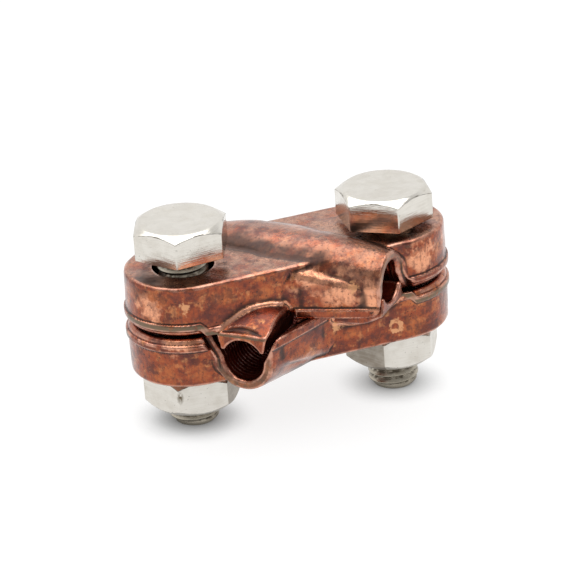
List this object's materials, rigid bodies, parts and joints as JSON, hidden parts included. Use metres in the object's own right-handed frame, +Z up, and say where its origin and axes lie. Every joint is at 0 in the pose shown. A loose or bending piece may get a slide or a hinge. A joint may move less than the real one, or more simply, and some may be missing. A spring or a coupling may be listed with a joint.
{
  "type": "cross clamp",
  "caption": "Bolted cross clamp of two equal forged copper-alloy halves that grips two round conductors crossing at a right angle.",
  "frame": {"origin": "below the crossing of the conductors, at the height of the lowest bolt end", "axes": "+X from the left bolt to the right bolt, +Y away from the viewer, +Z up along the bolts"},
  "size_m": [0.0662, 0.0408, 0.0444],
  "materials": {
    "forged_copper": "forged and tumbled, brown oxide skin with bright rubbed edges",
    "stainless": "cold-formed, satin bright"
  },
  "bodies": {
    "lower_half": {"lower_half": "forged_copper"},
    "upper_half": {"upper_half": "forged_copper"},
    "left_bolt": {"left_bolt": "stainless"},
    "right_bolt": {"right_bolt": "stainless"},
    "left_nut": {"left_nut": "stainless"},
    "right_nut": {"right_nut": "stainless"}
  },
  "joints": [
    {"name": "left_nut_turn", "type": "hinge", "parent": "lower_half", "child": "left_nut", "pos_m": [-0.021, 0, 0.01], "axis": [0, 0, -1], "range_deg": [0, 1440]},
    {"name": "right_nut_turn", "type": "hinge", "parent": "lower_half", "child": "right_nut", "pos_m": [0.021, 0, 0.01], "axis": [0, 0, -1], "range_deg": [0, 1440]},
    {"name": "jaw_open", "type": "slide", "parent": "lower_half", "child": "upper_half", "axis": [0, 0, 1], "range_m": [0, 0.006]},
    {"name": "left_bolt_turn", "type": "hinge", "parent": "upper_half", "child": "left_bolt", "pos_m": [-0.021, 0, 0.03], "axis": [0, 0, 1], "continuous": true},
    {"name": "right_bolt_turn", "type": "hinge", "parent": "upper_half", "child": "right_bolt", "pos_m": [0.021, 0, 0.03], "axis": [0, 0, 1], "continuous": true}
  ],
  "couplings": [
    {"joint": "left_nut_turn", "follows": "jaw_open", "rad_per_m": 4188.8},
    {"joint": "right_nut_turn", "follows": "jaw_open", "rad_per_m": 4188.8}
  ]
}
